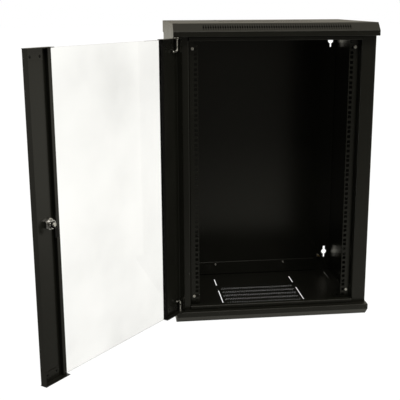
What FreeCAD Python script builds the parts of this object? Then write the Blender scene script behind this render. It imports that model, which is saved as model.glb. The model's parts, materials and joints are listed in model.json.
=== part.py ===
"""Wall cabinet for nineteen-inch equipment: folded sheet-steel body, rack rails and a glazed door.

Millimetres. X runs left to right, Y runs front to back, Z runs up, and the origin is the middle of the base.
The door is drawn closed and then swung to the angle at which it rests open.
"""
import FreeCAD
import Part

import math
import os

Vector = FreeCAD.Vector

# Rack space, which sets the cabinet's width and height
RACK_UNITS = 18
RACK_UNIT = 44.45
RACK_OPENING = 450.0
RACK_HOLE = 9.5
RACK_HOLE_INSET = 7.55
RACK_HOLE_STEP = 15.875
RACK_END_SPACE = 50.45
DEPTH = 450.0

# Rack rails and the feet that carry them
RAIL_SHEET = 2.0
RAIL_BEND = 1.0
RAIL_FLANGE = 28.0
RAIL_WEB = 40.0
RAIL_END_MARGIN = 6.0
RAIL_POST_GAP = 1.5
RAIL_SETBACK = 25.1
RAIL_SCREW_HEIGHT = 72.0
FOOT_HOLE_GAP = 1.7
FOOT_LENGTH = 150.0
FOOT_HEAD_ROOM = 14.0
FOOT_SCREW_INSET = 20.0
FOOT_SCREW_SPACING = 85.0
WEB_NOTCH_GAP = 6.0

# Top and bottom trays
TRAY_SHEET = 1.5
TRAY_HEIGHT = 38.0
TRAY_CHAMFER = 22.5
TRAY_BEND = 1.0
LEDGE_LIP = 15.0
LEDGE_RAIL_GAP = 0.5

# Vents in the sloping front band of the top
VENT_SLOT = 4.0
VENT_LENGTH = 9.5
VENT_HOLE = 2.8
VENT_HOLE_SPACING = 16.0
VENT_PITCH = 7.0
VENT_SIDE_MARGIN = 82.0

# Stops that the shut door stands against, across the ledges between the posts
STOP_SHEET = 1.5
STOP_BEND = 1.0
STOP_DEPTH = 18.0
STOP_DOOR_GAP = 0.5
STOP_RACK_GAP = 0.45
STOP_END_GAP = 0.5

# Fan grille and knock-out outlines in the floor and the roof
GRILLE_BANDS = 5
GRILLE_BAND_STEP = 33.0
GRILLE_HOLE = 5.2
GRILLE_PITCH = 8.0
GRILLE_ROW_STEP = 7.0
GRILLE_WIDTH = 250.0
GRILLE_SETBACK = 162.0
OUTLINE_SLOT = 3.2
OUTLINE_SPACING = 270.0
OUTLINE_FRONT_SETBACK = 152.0
OUTLINE_FRONT_LENGTH = 128.0
OUTLINE_REAR_MARGIN = 57.0
OUTLINE_REAR_LENGTH = 65.0
CORNER_SLOT = 1.2
CORNER_SLOT_INSET = 28.0
CORNER_SLOT_LENGTH = 70.0
CORNER_SLOT_MARGIN = 23.0

# Front posts and side panels
POST_SHEET = 1.5
POST_WIDTH = 43.3
POST_BEND = 1.6
POST_LIP = 14.0
POST_CHEEK = 36.0
POST_JOGGLE = 3.0
POST_FLANGE = 25.0
POST_SCREW_SPACING = 22.0
PANEL_SHEET = 1.5
PANEL_GAP = 0.7
PANEL_EDGE_GAP = 0.5
PANEL_BEND = 1.0
PANEL_REAR_FLANGE = 12.0
PANEL_SCREWS = 4
PANEL_SCREW_MARGIN = 90.0

# Rear panel, its wall keyholes and the cable-entry cover
REAR_SHEET = 1.5
REAR_END_GAP = 3.0
REAR_SIDE_GAP = 0.3
KEYHOLE_HEIGHT = 72.0
KEYHOLE_FLANGE_GAP = 0.5
KEYHOLE_BORE = 18.0
KEYHOLE_UPPER_SLOT = 8.0
KEYHOLE_LOWER_SLOT = 5.0
KEYHOLE_REACH = 21.0
CABLE_ENTRY_WIDTH = 236.0
CABLE_ENTRY_LOW = 8.0
COVER_SHEET = 1.2
COVER_BEND = 0.5
COVER_DEPTH = 3.6
COVER_SIDE_MARGIN = 62.0
COVER_HEIGHT = 46.0
COVER_SCREW_MARGIN = 6.0
COVER_SCREW_DROP = 9.0
TRAY_REAR_SCREW_MARGIN = 90.0
EARTH_STUD_MARGIN = 46.0
EARTH_STUD_HEIGHT = 58.0
EARTH_STUD_LENGTH = 14.0

# Door leaf
OPEN_ANGLE = 130.0
DOOR_SIDE_GAP = 1.0
DOOR_END_GAP = 2.2
DOOR_RECESS = 1.5
DOOR_DEPTH = 19.0
DOOR_SHEET = 1.2
DOOR_BEND = 1.2
DOOR_POST_GAP = 1.1
HINGE_INSET = 9.5
HINGE_STILE_WIDTH = 88.0
END_PLATE_SHEET = 1.5
END_PLATE_TAB = 3.0
RIVET_DROP = 19.0
RIVET_INSET = 22.0
RIVET_GUIDE_GAP = 5.5
RIVET_CHANNEL_GAP = 10.0
RIVET_EDGE = 8.0
RIVET_SHANK = 4.0
RIVET_HEAD = 7.0
RIVET_HEAD_HEIGHT = 1.2

# Glass and what holds it
GLASS_THICKNESS = 5.0
GLASS_END_GAP = 0.3
GLASS_GRIP = 9.0
GLASS_ARRIS = 0.6
GASKET_WALL = 1.0
GASKET_BEND = 0.2
CHANNEL_SHEET = 1.0
CHANNEL_BEND = 0.5

# Hinge pins, sprung so that they can be drawn to lift the door off
PIN_DIAMETER = 6.0
PIN_FIT = 0.05
PIN_CHAMFER = 1.0
PIN_REACH = 10.0
PIN_TRAVEL = 11.0
PIN_HOOK_GAP = 12.0
PIN_HOOK_LENGTH = 19.0
PIN_HOOK_BEND = 6.0
BUSH_WALL = 1.5
BUSH_FLANGE = 13.0
BUSH_RUN = 0.2
BUSH_LENGTH = 5.0
COLLAR_WALL = 1.5
COLLAR_HEIGHT = 1.5
COLLAR_GAP = 0.3
GUIDE_SHEET = 1.5
GUIDE_BEND = 0.5
GUIDE_WIDTH = 14.0
GUIDE_REACH = 5.0
SPRING_WIRE = 0.8
SPRING_CLEARANCE = 0.4
SPRING_TURNS = 7
SPRING_STEPS = 14
SPRING_SPARE = 3.6

# Cam lock
LOCK_DROP = 6.5
LOCK_HEAD = 28.0
LOCK_HEAD_DEPTH = 3.0
LOCK_BODY = 22.0
LOCK_BODY_REACH = 15.0
LOCK_HOLE_GAP = 0.2
LOCK_NUT = 27.0
LOCK_NUT_DEPTH = 8.0
LOCK_CHANNEL_GAP = 2.0
LOCK_PLUG = 12.0
LOCK_FIT = 0.05
LOCK_SQUARE = 7.0
LOCK_SQUARE_FIT = 0.05
KEY_SLOT_WIDTH = 1.6
KEY_SLOT_HEIGHT = 7.5
KEY_SLOT_DEPTH = 5.0
CAM_SHEET = 2.0
CAM_WIDTH = 11.0
CAM_HUB = 7.0
CAM_CRANK = 7.5
CAM_BLADE = 30.0
CAM_BEND = 0.6
CAM_CLEARANCE = 1.3
CAM_SHOULDER_GAP = 0.3
CAM_SWEEP_GAP = 4.0
CAM_SCREW_FLANGE = 9.6
CAM_SCREW_RIM = 1.5
CAM_SCREW_HEAD = 5.0

# Screws
M4_SHANK = 4.0
M4_HEAD = 8.0
M4_HEAD_HEIGHT = 2.0
M5_SHANK = 5.0
M5_HEAD = 9.4
M5_HEAD_HEIGHT = 3.4
M5_NUT = 8.0
M5_NUT_HEIGHT = 4.0
M6_SHANK = 6.0
M6_NUT = 10.0
M6_NUT_HEIGHT = 5.0
CSK_HEAD = 7.2
SCREW_HOLE_GAP = 0.3
SCREW_POINT = 3.0
HEAD_ROUND = 1.0
DRIVE_SLOT = 1.2
DRIVE_LENGTH = 5.0
DRIVE_DEPTH = 1.2
CUT_MARGIN = 2.0
SAME_PLACE = 0.01

# Overall sizes and the planes that several pieces share
PANEL_INSET = TRAY_SHEET + PANEL_GAP
WIDTH = RACK_OPENING + 2 * (RAIL_FLANGE + RAIL_POST_GAP + POST_WIDTH + PANEL_INSET)
HEIGHT = RACK_UNITS * RACK_UNIT + 2 * RACK_END_SPACE
HALF = WIDTH / 2
FRONT = -DEPTH / 2
BACK = DEPTH / 2
SOFFIT = HEIGHT - TRAY_HEIGHT
PANEL_FACE = HALF - PANEL_INSET
POST_INNER = PANEL_FACE - POST_WIDTH
COLLAR_DIAMETER = PIN_DIAMETER + 2 * COLLAR_WALL
DOOR_SKIN = DOOR_SHEET + GUIDE_SHEET + COLLAR_GAP + COLLAR_DIAMETER / 2
HINGE_SETBACK = DOOR_RECESS + DOOR_SKIN
DOOR_INNER = DOOR_DEPTH - DOOR_SKIN
DOOR_SWEEP = math.hypot(HINGE_INSET, max(DOOR_SKIN, DOOR_INNER))
POST_FRONT = FRONT + HINGE_SETBACK + DOOR_SWEEP + DOOR_POST_GAP
RAIL_FACE = POST_FRONT + RAIL_SETBACK
FOOT_FACE = RAIL_FACE + RAIL_SHEET
LEDGE_BACK = RAIL_FACE - LEDGE_RAIL_GAP
REAR_INSIDE = BACK - TRAY_SHEET - REAR_SHEET
KEYHOLE_SIDE = PANEL_FACE - PANEL_REAR_FLANGE - KEYHOLE_FLANGE_GAP - KEYHOLE_BORE / 2
RACK_HOLE_SIDE = RACK_OPENING / 2 + RACK_HOLE_INSET
RAIL_SCREW_SIDE = RACK_HOLE_SIDE + RACK_HOLE / 2 + M5_HEAD / 2
FOOT_INNER = RACK_HOLE_SIDE + RACK_HOLE / 2 + FOOT_HOLE_GAP

# Door planes, with the leaf closed
HINGE_X = -HALF + DOOR_SIDE_GAP + HINGE_INSET
HINGE_Y = FRONT + HINGE_SETBACK
DOOR_LEFT = -HALF + DOOR_SIDE_GAP
DOOR_RIGHT = HALF - DOOR_SIDE_GAP
DOOR_LOW = TRAY_HEIGHT + DOOR_END_GAP
DOOR_HIGH = SOFFIT - DOOR_END_GAP
SKIN_OUT = HINGE_Y - DOOR_SKIN
SKIN_IN = SKIN_OUT + DOOR_SHEET
DOOR_BACK = SKIN_OUT + DOOR_DEPTH
STILE_LOW = DOOR_LOW + END_PLATE_SHEET
STILE_HIGH = DOOR_HIGH - END_PLATE_SHEET
POCKET_FRONT = SKIN_IN + CHANNEL_SHEET
GLASS_FRONT = POCKET_FRONT + GASKET_WALL
GLASS_BACK = GLASS_FRONT + GLASS_THICKNESS
POCKET_BACK = GLASS_BACK + GASKET_WALL
LOCK_X = POST_INNER - CAM_CRANK - CAM_SHEET
LOCK_HEIGHT = HEIGHT / 2 - LOCK_DROP
LOCK_END = SKIN_IN + LOCK_BODY_REACH
CAM_FACE = LOCK_END + CAM_SHOULDER_GAP
BLADE_FACE = POST_FRONT + POST_SHEET + CAM_CLEARANCE
GASKET_GRIP = GLASS_GRIP + GASKET_WALL
CHANNEL_GRIP = GASKET_GRIP + CHANNEL_SHEET
LOCK_STILE_WIDTH = DOOR_RIGHT - LOCK_X + LOCK_NUT / math.sqrt(3) + LOCK_CHANNEL_GAP + CHANNEL_GRIP
RIVET_HEIGHT = STILE_LOW + RIVET_DROP
RIVET_FAR_MARGIN = CHANNEL_GRIP + RIVET_EDGE + RIVET_CHANNEL_GAP
HINGE_RIVET_INSET = HINGE_INSET + GUIDE_WIDTH / 2 + RIVET_GUIDE_GAP + RIVET_EDGE
SPRING_LOW = STILE_LOW + COLLAR_GAP + COLLAR_HEIGHT
GUIDE_SHELF = SPRING_LOW + PIN_TRAVEL + SPRING_TURNS * SPRING_WIRE + SPRING_SPARE
HOOK_HEIGHT = GUIDE_SHELF + GUIDE_SHEET + PIN_HOOK_GAP

parts = {}


def box(x0, x1, y0, y1, z0, z1):
    """Block between two corners."""
    return Part.makeBox(x1 - x0, y1 - y0, z1 - z0, Vector(x0, y0, z0))


def rod(diameter, start, direction, length):
    """Round bar from a start point along a direction."""
    return Part.makeCylinder(diameter / 2, length, start, direction)


def rounded_face(points, radii):
    """Face inside a polygon in the XY plane, each corner rounded by its own radius."""
    corners = []
    count = len(points)
    for i in range(count):
        here = points[i]
        radius = radii[i]
        if radius == 0:
            corners.append((here, None, here))
            continue
        before = (points[i - 1] - here).normalize()
        after = (points[(i + 1) % count] - here).normalize()
        half = before.getAngle(after) / 2
        middle = (before + after).normalize()
        reach = radius / math.tan(half)
        crown = here + middle * (radius / math.sin(half) - radius)
        corners.append((here + before * reach, crown, here + after * reach))
    edges = []
    for i in range(count):
        start, crown, end = corners[i]
        following = corners[(i + 1) % count][0]
        if crown is not None:
            edges.append(Part.Arc(start, crown, end).toShape())
        if (following - end).Length > SAME_PLACE:
            edges.append(Part.makeLine(end, following))
    return Part.Face(Part.Wire(edges))


def bent_face(path, thickness, bend):
    """Section of a folded sheet in the XY plane, with the sheet on the left of its path."""
    points = [Vector(x, y, 0) for x, y in path]
    runs = [(points[i + 1] - points[i]).normalize() for i in range(len(points) - 1)]
    lefts = [Vector(-run.y, run.x, 0) for run in runs]
    offset = [points[0] + lefts[0] * thickness]
    near_radii = [0]
    far_radii = [0]
    for i in range(1, len(points) - 1):
        mitre = (lefts[i - 1] + lefts[i]) * (thickness / (1 + lefts[i - 1].dot(lefts[i])))
        offset.append(points[i] + mitre)
        turns_left = runs[i - 1].cross(runs[i]).z > 0
        near_radii.append(bend + thickness if turns_left else bend)
        far_radii.append(bend if turns_left else bend + thickness)
    offset.append(points[-1] + lefts[-1] * thickness)
    near_radii.append(0)
    far_radii.append(0)
    return rounded_face(points + offset[::-1], near_radii + far_radii[::-1])


def upright(face, z0, z1):
    """Plan section raised from one height to another."""
    solid = face.extrude(Vector(0, 0, z1 - z0))
    solid.translate(Vector(0, 0, z0))
    return solid


def crosswise(face, x0, x1):
    """Side section, drawn as (y, z), drawn out along X."""
    solid = face.extrude(Vector(0, 0, x1 - x0))
    solid.rotate(Vector(0, 0, 0), Vector(1, 1, 1), 120)
    solid.translate(Vector(x0, 0, 0))
    return solid


def fused(*shapes):
    """One solid from pieces of the same sheet."""
    return shapes[0].fuse(list(shapes[1:])).removeSplitter()


def pierced(shape, tools):
    """Shape with a list of tools cut from it."""
    return shape.cut(Part.makeCompound(tools))


def other_side(shape):
    """The same piece on the left of the cabinet."""
    return shape.mirror(Vector(0, 0, 0), Vector(1, 0, 0))


def other_end(shape):
    """The same piece at the top of the cabinet."""
    return shape.mirror(Vector(0, 0, HEIGHT / 2), Vector(0, 0, 1))


def four_corners(shape):
    """A low right-hand piece and its copies at the left and at the top."""
    low = [shape, other_side(shape)]
    return low + [other_end(piece) for piece in low]


def swung(shape):
    """Door piece, drawn closed, at the angle where the door rests."""
    turned = shape.copy()
    turned.rotate(Vector(HINGE_X, HINGE_Y, 0), Vector(0, 0, 1), -OPEN_ANGLE)
    return turned


def edges_about(shape, middle):
    """Edges of a shape whose own middle is a given point."""
    return [edge for edge in shape.Edges if edge.BoundBox.Center.sub(middle).Length < SAME_PLACE]


def pan_screw(seat, inward, shank, head, head_height, length):
    """Cross-headed pan screw whose head sits on a seat point, with the shank going inward."""
    dome = rod(head, seat, -inward, head_height)
    top = seat - inward * head_height
    dome = dome.makeFillet(min(HEAD_ROUND, head_height / 2), edges_about(dome, top))
    screw = dome.fuse(rod(shank, seat, inward, length)).removeSplitter()
    across = Vector(0, 0, 1) if abs(inward.z) < 0.5 else Vector(1, 0, 0)
    for side in (across, across.cross(inward)):
        width = inward.cross(side)
        corner = top - side * (DRIVE_LENGTH / 2) - width * (DRIVE_SLOT / 2)
        outline = [corner, corner + side * DRIVE_LENGTH]
        outline += [point + width * DRIVE_SLOT for point in outline[::-1]]
        slot = Part.Face(Part.makePolygon(outline + outline[:1])).extrude(inward * DRIVE_DEPTH)
        screw = screw.cut(slot)
    return screw


def hex_nut(centre, direction, across, bore, height):
    """Hexagon nut standing on a centre point."""
    nut = Part.makePolygon(hexagon(centre, direction, across))
    solid = Part.Face(nut).extrude(direction * height)
    return solid.cut(rod(bore, centre, direction, height))


def hexagon(centre, direction, across):
    """Closed corner list of a hexagon square to a direction."""
    first = Vector(0, 0, 1) if abs(direction.z) < 0.5 else Vector(1, 0, 0)
    second = direction.cross(first)
    radius = across / math.sqrt(3)
    turns = [math.radians(60 * i) for i in range(7)]
    return [centre + first * (radius * math.cos(a)) + second * (radius * math.sin(a)) for a in turns]


def slot_tool(x, y0, y1, width, z0, z1):
    """Round-ended slot along Y, cut through between two heights."""
    tool = box(x - width / 2, x + width / 2, y0 + width / 2, y1 - width / 2, z0, z1)
    for y in (y0 + width / 2, y1 - width / 2):
        tool = tool.fuse(rod(width, Vector(x, y, z0), Vector(0, 0, 1), z1 - z0))
    return tool.removeSplitter()


def post_screw_places():
    """Plan places of the screws through the foot of the right-hand post."""
    middle = (POST_INNER + PANEL_FACE) / 2
    y = (POST_FRONT + RAIL_FACE) / 2
    return [(middle + side * POST_SCREW_SPACING / 2, y) for side in (-1, 1)]


def foot_screw_places():
    """Plan places of the screws through the right-hand rail foot into the floor."""
    x = POST_INNER - RAIL_POST_GAP
    far = FOOT_FACE + FOOT_LENGTH - FOOT_SCREW_INSET
    return [(x, far - FOOT_SCREW_SPACING), (x, far)]


def panel_screw_heights():
    """Heights of the screws that hold a side panel, evenly spread."""
    low = TRAY_HEIGHT + PANEL_SCREW_MARGIN
    step = (SOFFIT - PANEL_SCREW_MARGIN - low) / (PANEL_SCREWS - 1)
    return [low + step * i for i in range(PANEL_SCREWS)]


def grille_tools():
    """Fan grille of staggered holes, knock-out outlines and corner slots of a tray's plate."""
    z0 = -CUT_MARGIN
    z1 = TRAY_SHEET + CUT_MARGIN
    tools = []
    columns = int(GRILLE_WIDTH // GRILLE_PITCH)
    for band in range(GRILLE_BANDS):
        middle = FRONT + GRILLE_SETBACK + band * GRILLE_BAND_STEP
        for side in (-1, 1):
            y = middle + side * GRILLE_ROW_STEP / 2
            for column in range(columns):
                x = (column - (columns - 1) / 2 + side / 4) * GRILLE_PITCH
                tools.append(rod(GRILLE_HOLE, Vector(x, y, z0), Vector(0, 0, 1), z1 - z0))
    for side in (-1, 1):
        x = side * OUTLINE_SPACING / 2
        y0 = FRONT + OUTLINE_FRONT_SETBACK
        tools.append(slot_tool(x, y0, y0 + OUTLINE_FRONT_LENGTH, OUTLINE_SLOT, z0, z1))
        y1 = BACK - OUTLINE_REAR_MARGIN
        tools.append(slot_tool(x, y1 - OUTLINE_REAR_LENGTH, y1, OUTLINE_SLOT, z0, z1))
        x = side * (HALF - CORNER_SLOT_INSET)
        y1 = BACK - CORNER_SLOT_MARGIN
        tools.append(slot_tool(x, y1 - CORNER_SLOT_LENGTH, y1, CORNER_SLOT, z0, z1))
    return tools


def tray():
    """Bottom tray: floor, rear upstand, closed ends and the hollow front ledge."""
    path = [
        (LEDGE_BACK, TRAY_HEIGHT - LEDGE_LIP),
        (LEDGE_BACK, TRAY_HEIGHT),
        (FRONT, TRAY_HEIGHT),
        (FRONT, TRAY_CHAMFER),
        (FRONT + TRAY_CHAMFER, 0),
        (BACK, 0),
        (BACK, TRAY_HEIGHT),
    ]
    folded = crosswise(bent_face(path, TRAY_SHEET, TRAY_BEND), -HALF, HALF)
    outline = [Vector(y, z, 0) for y, z in path[2:]]
    end_face = rounded_face(outline, [TRAY_BEND + TRAY_SHEET] * 4 + [0])
    ends = [crosswise(end_face, HALF - TRAY_SHEET, HALF), crosswise(end_face, -HALF, TRAY_SHEET - HALF)]
    blank = fused(folded, *ends)
    tools = grille_tools()
    entry = CABLE_ENTRY_WIDTH / 2
    entry_front = BACK - TRAY_SHEET - CUT_MARGIN
    tools.append(box(-entry, entry, entry_front, BACK + CUT_MARGIN, CABLE_ENTRY_LOW, SOFFIT))
    up = Vector(0, 0, 1)
    bush_hole = PIN_DIAMETER + 2 * (PIN_FIT + BUSH_WALL)
    through = TRAY_SHEET + 2 * CUT_MARGIN
    tools.append(rod(bush_hole, Vector(HINGE_X, HINGE_Y, TRAY_HEIGHT - TRAY_SHEET - CUT_MARGIN), up, through))
    for side in (-1, 1):
        for x, y in post_screw_places():
            start = Vector(side * x, y, TRAY_HEIGHT - TRAY_SHEET - CUT_MARGIN)
            tools.append(rod(M5_SHANK + 2 * SCREW_HOLE_GAP, start, up, through))
        for x, y in foot_screw_places():
            tools.append(rod(M4_SHANK + 2 * SCREW_HOLE_GAP, Vector(side * x, y, -CUT_MARGIN), up, through))
        tools.append(csk_tool(side * (HALF - TRAY_REAR_SCREW_MARGIN), TRAY_HEIGHT / 2))
    return pierced(blank, tools)


def vent_tools():
    """Vents square to the sloping front band of the top: slots up the slope, each with a hole at either end."""
    low = -TRAY_SHEET - CUT_MARGIN
    column = [slot_tool(0, -VENT_LENGTH / 2, VENT_LENGTH / 2, VENT_SLOT, low, CUT_MARGIN)]
    for side in (-1, 1):
        start = Vector(0, side * VENT_HOLE_SPACING / 2, low)
        column.append(rod(VENT_HOLE, start, Vector(0, 0, 1), CUT_MARGIN - low))
    middle = Vector(0, FRONT + TRAY_CHAMFER / 2, HEIGHT - TRAY_CHAMFER / 2)
    columns = int((WIDTH - 2 * VENT_SIDE_MARGIN) // VENT_PITCH)
    tools = []
    for tool in column:
        tool.rotate(Vector(0, 0, 0), Vector(1, 0, 0), 45)
        for i in range(columns):
            x = (i - (columns - 1) / 2) * VENT_PITCH
            tools.append(tool.translated(middle + Vector(x, 0, 0)))
    return tools


def csk_screw(x, z):
    """Countersunk screw from behind, through the rear flange into the rear panel."""
    start = Vector(x, BACK, z)
    inward = Vector(0, -1, 0)
    cone = Part.makeCone(CSK_HEAD / 2, M4_SHANK / 2, TRAY_SHEET, start, inward)
    shank = rod(M4_SHANK, start, inward, TRAY_SHEET + REAR_SHEET)
    return fused(cone, shank)


def csk_tool(x, z):
    """Countersink in a rear flange or upstand for that screw."""
    return Part.makeCone(CSK_HEAD / 2, M4_SHANK / 2, TRAY_SHEET, Vector(x, BACK, z), Vector(0, -1, 0))


def rear_screw_places():
    """Side and height of each screw that holds the rear panel."""
    side_x = PANEL_FACE - PANEL_REAR_FLANGE / 2
    places = [(side * side_x, z) for side in (-1, 1) for z in panel_screw_heights()]
    tray_x = HALF - TRAY_REAR_SCREW_MARGIN
    places += [(side * tray_x, z) for side in (-1, 1) for z in (TRAY_HEIGHT / 2, HEIGHT - TRAY_HEIGHT / 2)]
    return places


def side_panel():
    """Right side panel with its rear flange, which lies behind the rear panel."""
    path = [
        (PANEL_FACE, POST_FRONT + POST_CHEEK + PANEL_EDGE_GAP),
        (PANEL_FACE, BACK),
        (PANEL_FACE - PANEL_REAR_FLANGE, BACK),
    ]
    section = bent_face(path, PANEL_SHEET, PANEL_BEND)
    flanged = upright(section, TRAY_HEIGHT + PANEL_EDGE_GAP, SOFFIT - PANEL_EDGE_GAP)
    rear = BACK - TRAY_SHEET - TRAY_BEND - PANEL_EDGE_GAP
    flat = box(PANEL_FACE - PANEL_SHEET, PANEL_FACE, path[0][1], rear, TRAY_SHEET, HEIGHT - TRAY_SHEET)
    screw_y = path[0][1] + POST_FLANGE / 2
    tools = []
    for z in panel_screw_heights():
        start = Vector(PANEL_FACE - PANEL_SHEET - CUT_MARGIN, screw_y, z)
        tools.append(rod(M4_SHANK + 2 * SCREW_HOLE_GAP, start, Vector(1, 0, 0), PANEL_SHEET + 2 * CUT_MARGIN))
        tools.append(csk_tool(PANEL_FACE - PANEL_REAR_FLANGE / 2, z))
    return pierced(fused(flanged, flat), tools)


def side_panel_screws():
    """Screws through the right side panel into the flange of the post."""
    y = POST_FRONT + POST_CHEEK + PANEL_EDGE_GAP + POST_FLANGE / 2
    length = PANEL_SHEET + POST_SHEET
    inward = Vector(-1, 0, 0)
    places = [Vector(PANEL_FACE, y, z) for z in panel_screw_heights()]
    return [pan_screw(place, inward, M4_SHANK, M4_HEAD, M4_HEAD_HEIGHT, length) for place in places]


def front_post():
    """Right front post: a folded channel with a joggled flange for the side panel and a foot at each end."""
    cheek_end = POST_FRONT + POST_CHEEK
    path = [
        (POST_INNER + POST_LIP, FOOT_FACE),
        (POST_INNER, FOOT_FACE),
        (POST_INNER, POST_FRONT),
        (PANEL_FACE, POST_FRONT),
        (PANEL_FACE, cheek_end - POST_JOGGLE),
        (PANEL_FACE - PANEL_SHEET, cheek_end),
        (PANEL_FACE - PANEL_SHEET, cheek_end + POST_FLANGE),
    ]
    channel = upright(bent_face(path, POST_SHEET, POST_BEND), TRAY_HEIGHT, SOFFIT)
    inner = POST_INNER + POST_SHEET
    outer = PANEL_FACE - POST_SHEET
    plate = box(inner, outer, POST_FRONT + POST_SHEET, RAIL_FACE, TRAY_HEIGHT, TRAY_HEIGHT + POST_SHEET)
    post = fused(channel, plate, other_end(plate))
    tools = []
    up = Vector(0, 0, 1)
    for x, y in post_screw_places():
        start = Vector(x, y, TRAY_HEIGHT - CUT_MARGIN)
        low = rod(M5_SHANK + 2 * SCREW_HOLE_GAP, start, up, POST_SHEET + 2 * CUT_MARGIN)
        tools += [low, other_end(low)]
    screw_y = cheek_end + PANEL_EDGE_GAP + POST_FLANGE / 2
    for z in panel_screw_heights():
        start = Vector(outer - POST_SHEET - CUT_MARGIN, screw_y, z)
        tools.append(rod(M4_SHANK, start, Vector(1, 0, 0), POST_SHEET + 2 * CUT_MARGIN))
    return pierced(post, tools)


def lock_slot_tool():
    """Slot in the inner wall of the right post, where the cam's blade turns in."""
    y0 = BLADE_FACE - CAM_CLEARANCE
    y1 = BLADE_FACE + CAM_SHEET + CAM_SWEEP_GAP
    z0 = LOCK_HEIGHT - CAM_BLADE - CAM_SWEEP_GAP
    z1 = LOCK_HEIGHT + CAM_WIDTH / 2 + CAM_SWEEP_GAP
    return box(POST_INNER - CUT_MARGIN, POST_INNER + POST_SHEET + CUT_MARGIN, y0, y1, z0, z1)


def post_fixings():
    """Screws in the foot of the right post and the nuts under the ledge."""
    down = Vector(0, 0, -1)
    seat = TRAY_HEIGHT + POST_SHEET
    length = POST_SHEET + TRAY_SHEET + M5_NUT_HEIGHT
    screws = []
    nuts = []
    for x, y in post_screw_places():
        screws.append(pan_screw(Vector(x, y, seat), down, M5_SHANK, M5_HEAD, M5_HEAD_HEIGHT, length))
        under = Vector(x, y, TRAY_HEIGHT - TRAY_SHEET)
        nuts.append(hex_nut(under, down, M5_NUT, M5_SHANK, M5_NUT_HEIGHT))
    return screws, nuts


def door_stop():
    """Lower door stop: a folded channel welded on the ledge between the posts, open at the back."""
    front = DOOR_BACK + STOP_DOOR_GAP
    back = front + STOP_DEPTH
    top = RACK_END_SPACE - STOP_RACK_GAP
    path = [(back, top), (front, top), (front, TRAY_HEIGHT), (back, TRAY_HEIGHT)]
    side = POST_INNER - STOP_END_GAP
    return crosswise(bent_face(path, STOP_SHEET, STOP_BEND), -side, side)


def rack_rail():
    """Right rack rail: a flange with square holes at every unit and a web behind, notched for the feet."""
    inner = RACK_OPENING / 2
    outer = inner + RAIL_FLANGE
    path = [(inner, RAIL_FACE), (outer, RAIL_FACE), (outer, RAIL_FACE + RAIL_WEB)]
    low = RACK_END_SPACE - RAIL_END_MARGIN
    rail = upright(bent_face(path, RAIL_SHEET, RAIL_BEND), low, HEIGHT - low)
    tools = []
    half = RACK_HOLE / 2
    x0 = RACK_HOLE_SIDE - half
    y0 = RAIL_FACE - CUT_MARGIN
    y1 = FOOT_FACE + CUT_MARGIN
    for unit in range(RACK_UNITS):
        centre = RACK_END_SPACE + (unit + 0.5) * RACK_UNIT
        for z in (centre - RACK_HOLE_STEP, centre, centre + RACK_HOLE_STEP):
            tools.append(box(x0, x0 + RACK_HOLE, y0, y1, z - half, z + half))
    notch_top = RAIL_SCREW_HEIGHT + FOOT_HEAD_ROOM + WEB_NOTCH_GAP
    web_x = outer - 2 * RAIL_SHEET
    notch = box(web_x, outer + CUT_MARGIN, FOOT_FACE, FOOT_FACE + RAIL_WEB, low - CUT_MARGIN, notch_top)
    start = Vector(RAIL_SCREW_SIDE, RAIL_FACE - CUT_MARGIN, RAIL_SCREW_HEIGHT)
    hole = rod(M5_SHANK + 2 * SCREW_HOLE_GAP, start, Vector(0, 1, 0), RAIL_SHEET + 2 * CUT_MARGIN)
    tools += [notch, other_end(notch), hole, other_end(hole)]
    return pierced(rail, tools)


def rail_foot():
    """Lower right rail foot: an angle screwed to the floor that carries the rail at its front."""
    top = RAIL_SCREW_HEIGHT + FOOT_HEAD_ROOM
    path = [(FOOT_FACE, top), (FOOT_FACE, TRAY_SHEET), (FOOT_FACE + FOOT_LENGTH, TRAY_SHEET)]
    angle = crosswise(bent_face(path, RAIL_SHEET, RAIL_BEND), FOOT_INNER, POST_INNER + POST_LIP)
    start = Vector(RAIL_SCREW_SIDE, FOOT_FACE - CUT_MARGIN, RAIL_SCREW_HEIGHT)
    tools = [rod(M5_SHANK + 2 * SCREW_HOLE_GAP, start, Vector(0, 1, 0), RAIL_SHEET + 2 * CUT_MARGIN)]
    for x, y in foot_screw_places():
        start = Vector(x, y, TRAY_SHEET - CUT_MARGIN)
        tools.append(rod(M4_SHANK, start, Vector(0, 0, 1), RAIL_SHEET + 2 * CUT_MARGIN))
    return pierced(angle, tools)


def rail_fixings():
    """Lower right rail screw, its nut, and the screws that hold the foot down."""
    back = Vector(0, 1, 0)
    seat = Vector(RAIL_SCREW_SIDE, RAIL_FACE, RAIL_SCREW_HEIGHT)
    length = 2 * RAIL_SHEET + M5_NUT_HEIGHT + SCREW_POINT
    screw = pan_screw(seat, back, M5_SHANK, M5_HEAD, M5_HEAD_HEIGHT, length)
    nut = hex_nut(seat + back * (2 * RAIL_SHEET), back, M5_NUT, M5_SHANK, M5_NUT_HEIGHT)
    down = Vector(0, 0, -1)
    seat_z = TRAY_SHEET + RAIL_SHEET
    places = [Vector(px, py, seat_z) for px, py in foot_screw_places()]
    holders = [pan_screw(p, down, M4_SHANK, M4_HEAD, M4_HEAD_HEIGHT, seat_z) for p in places]
    return screw, nut, holders


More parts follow.
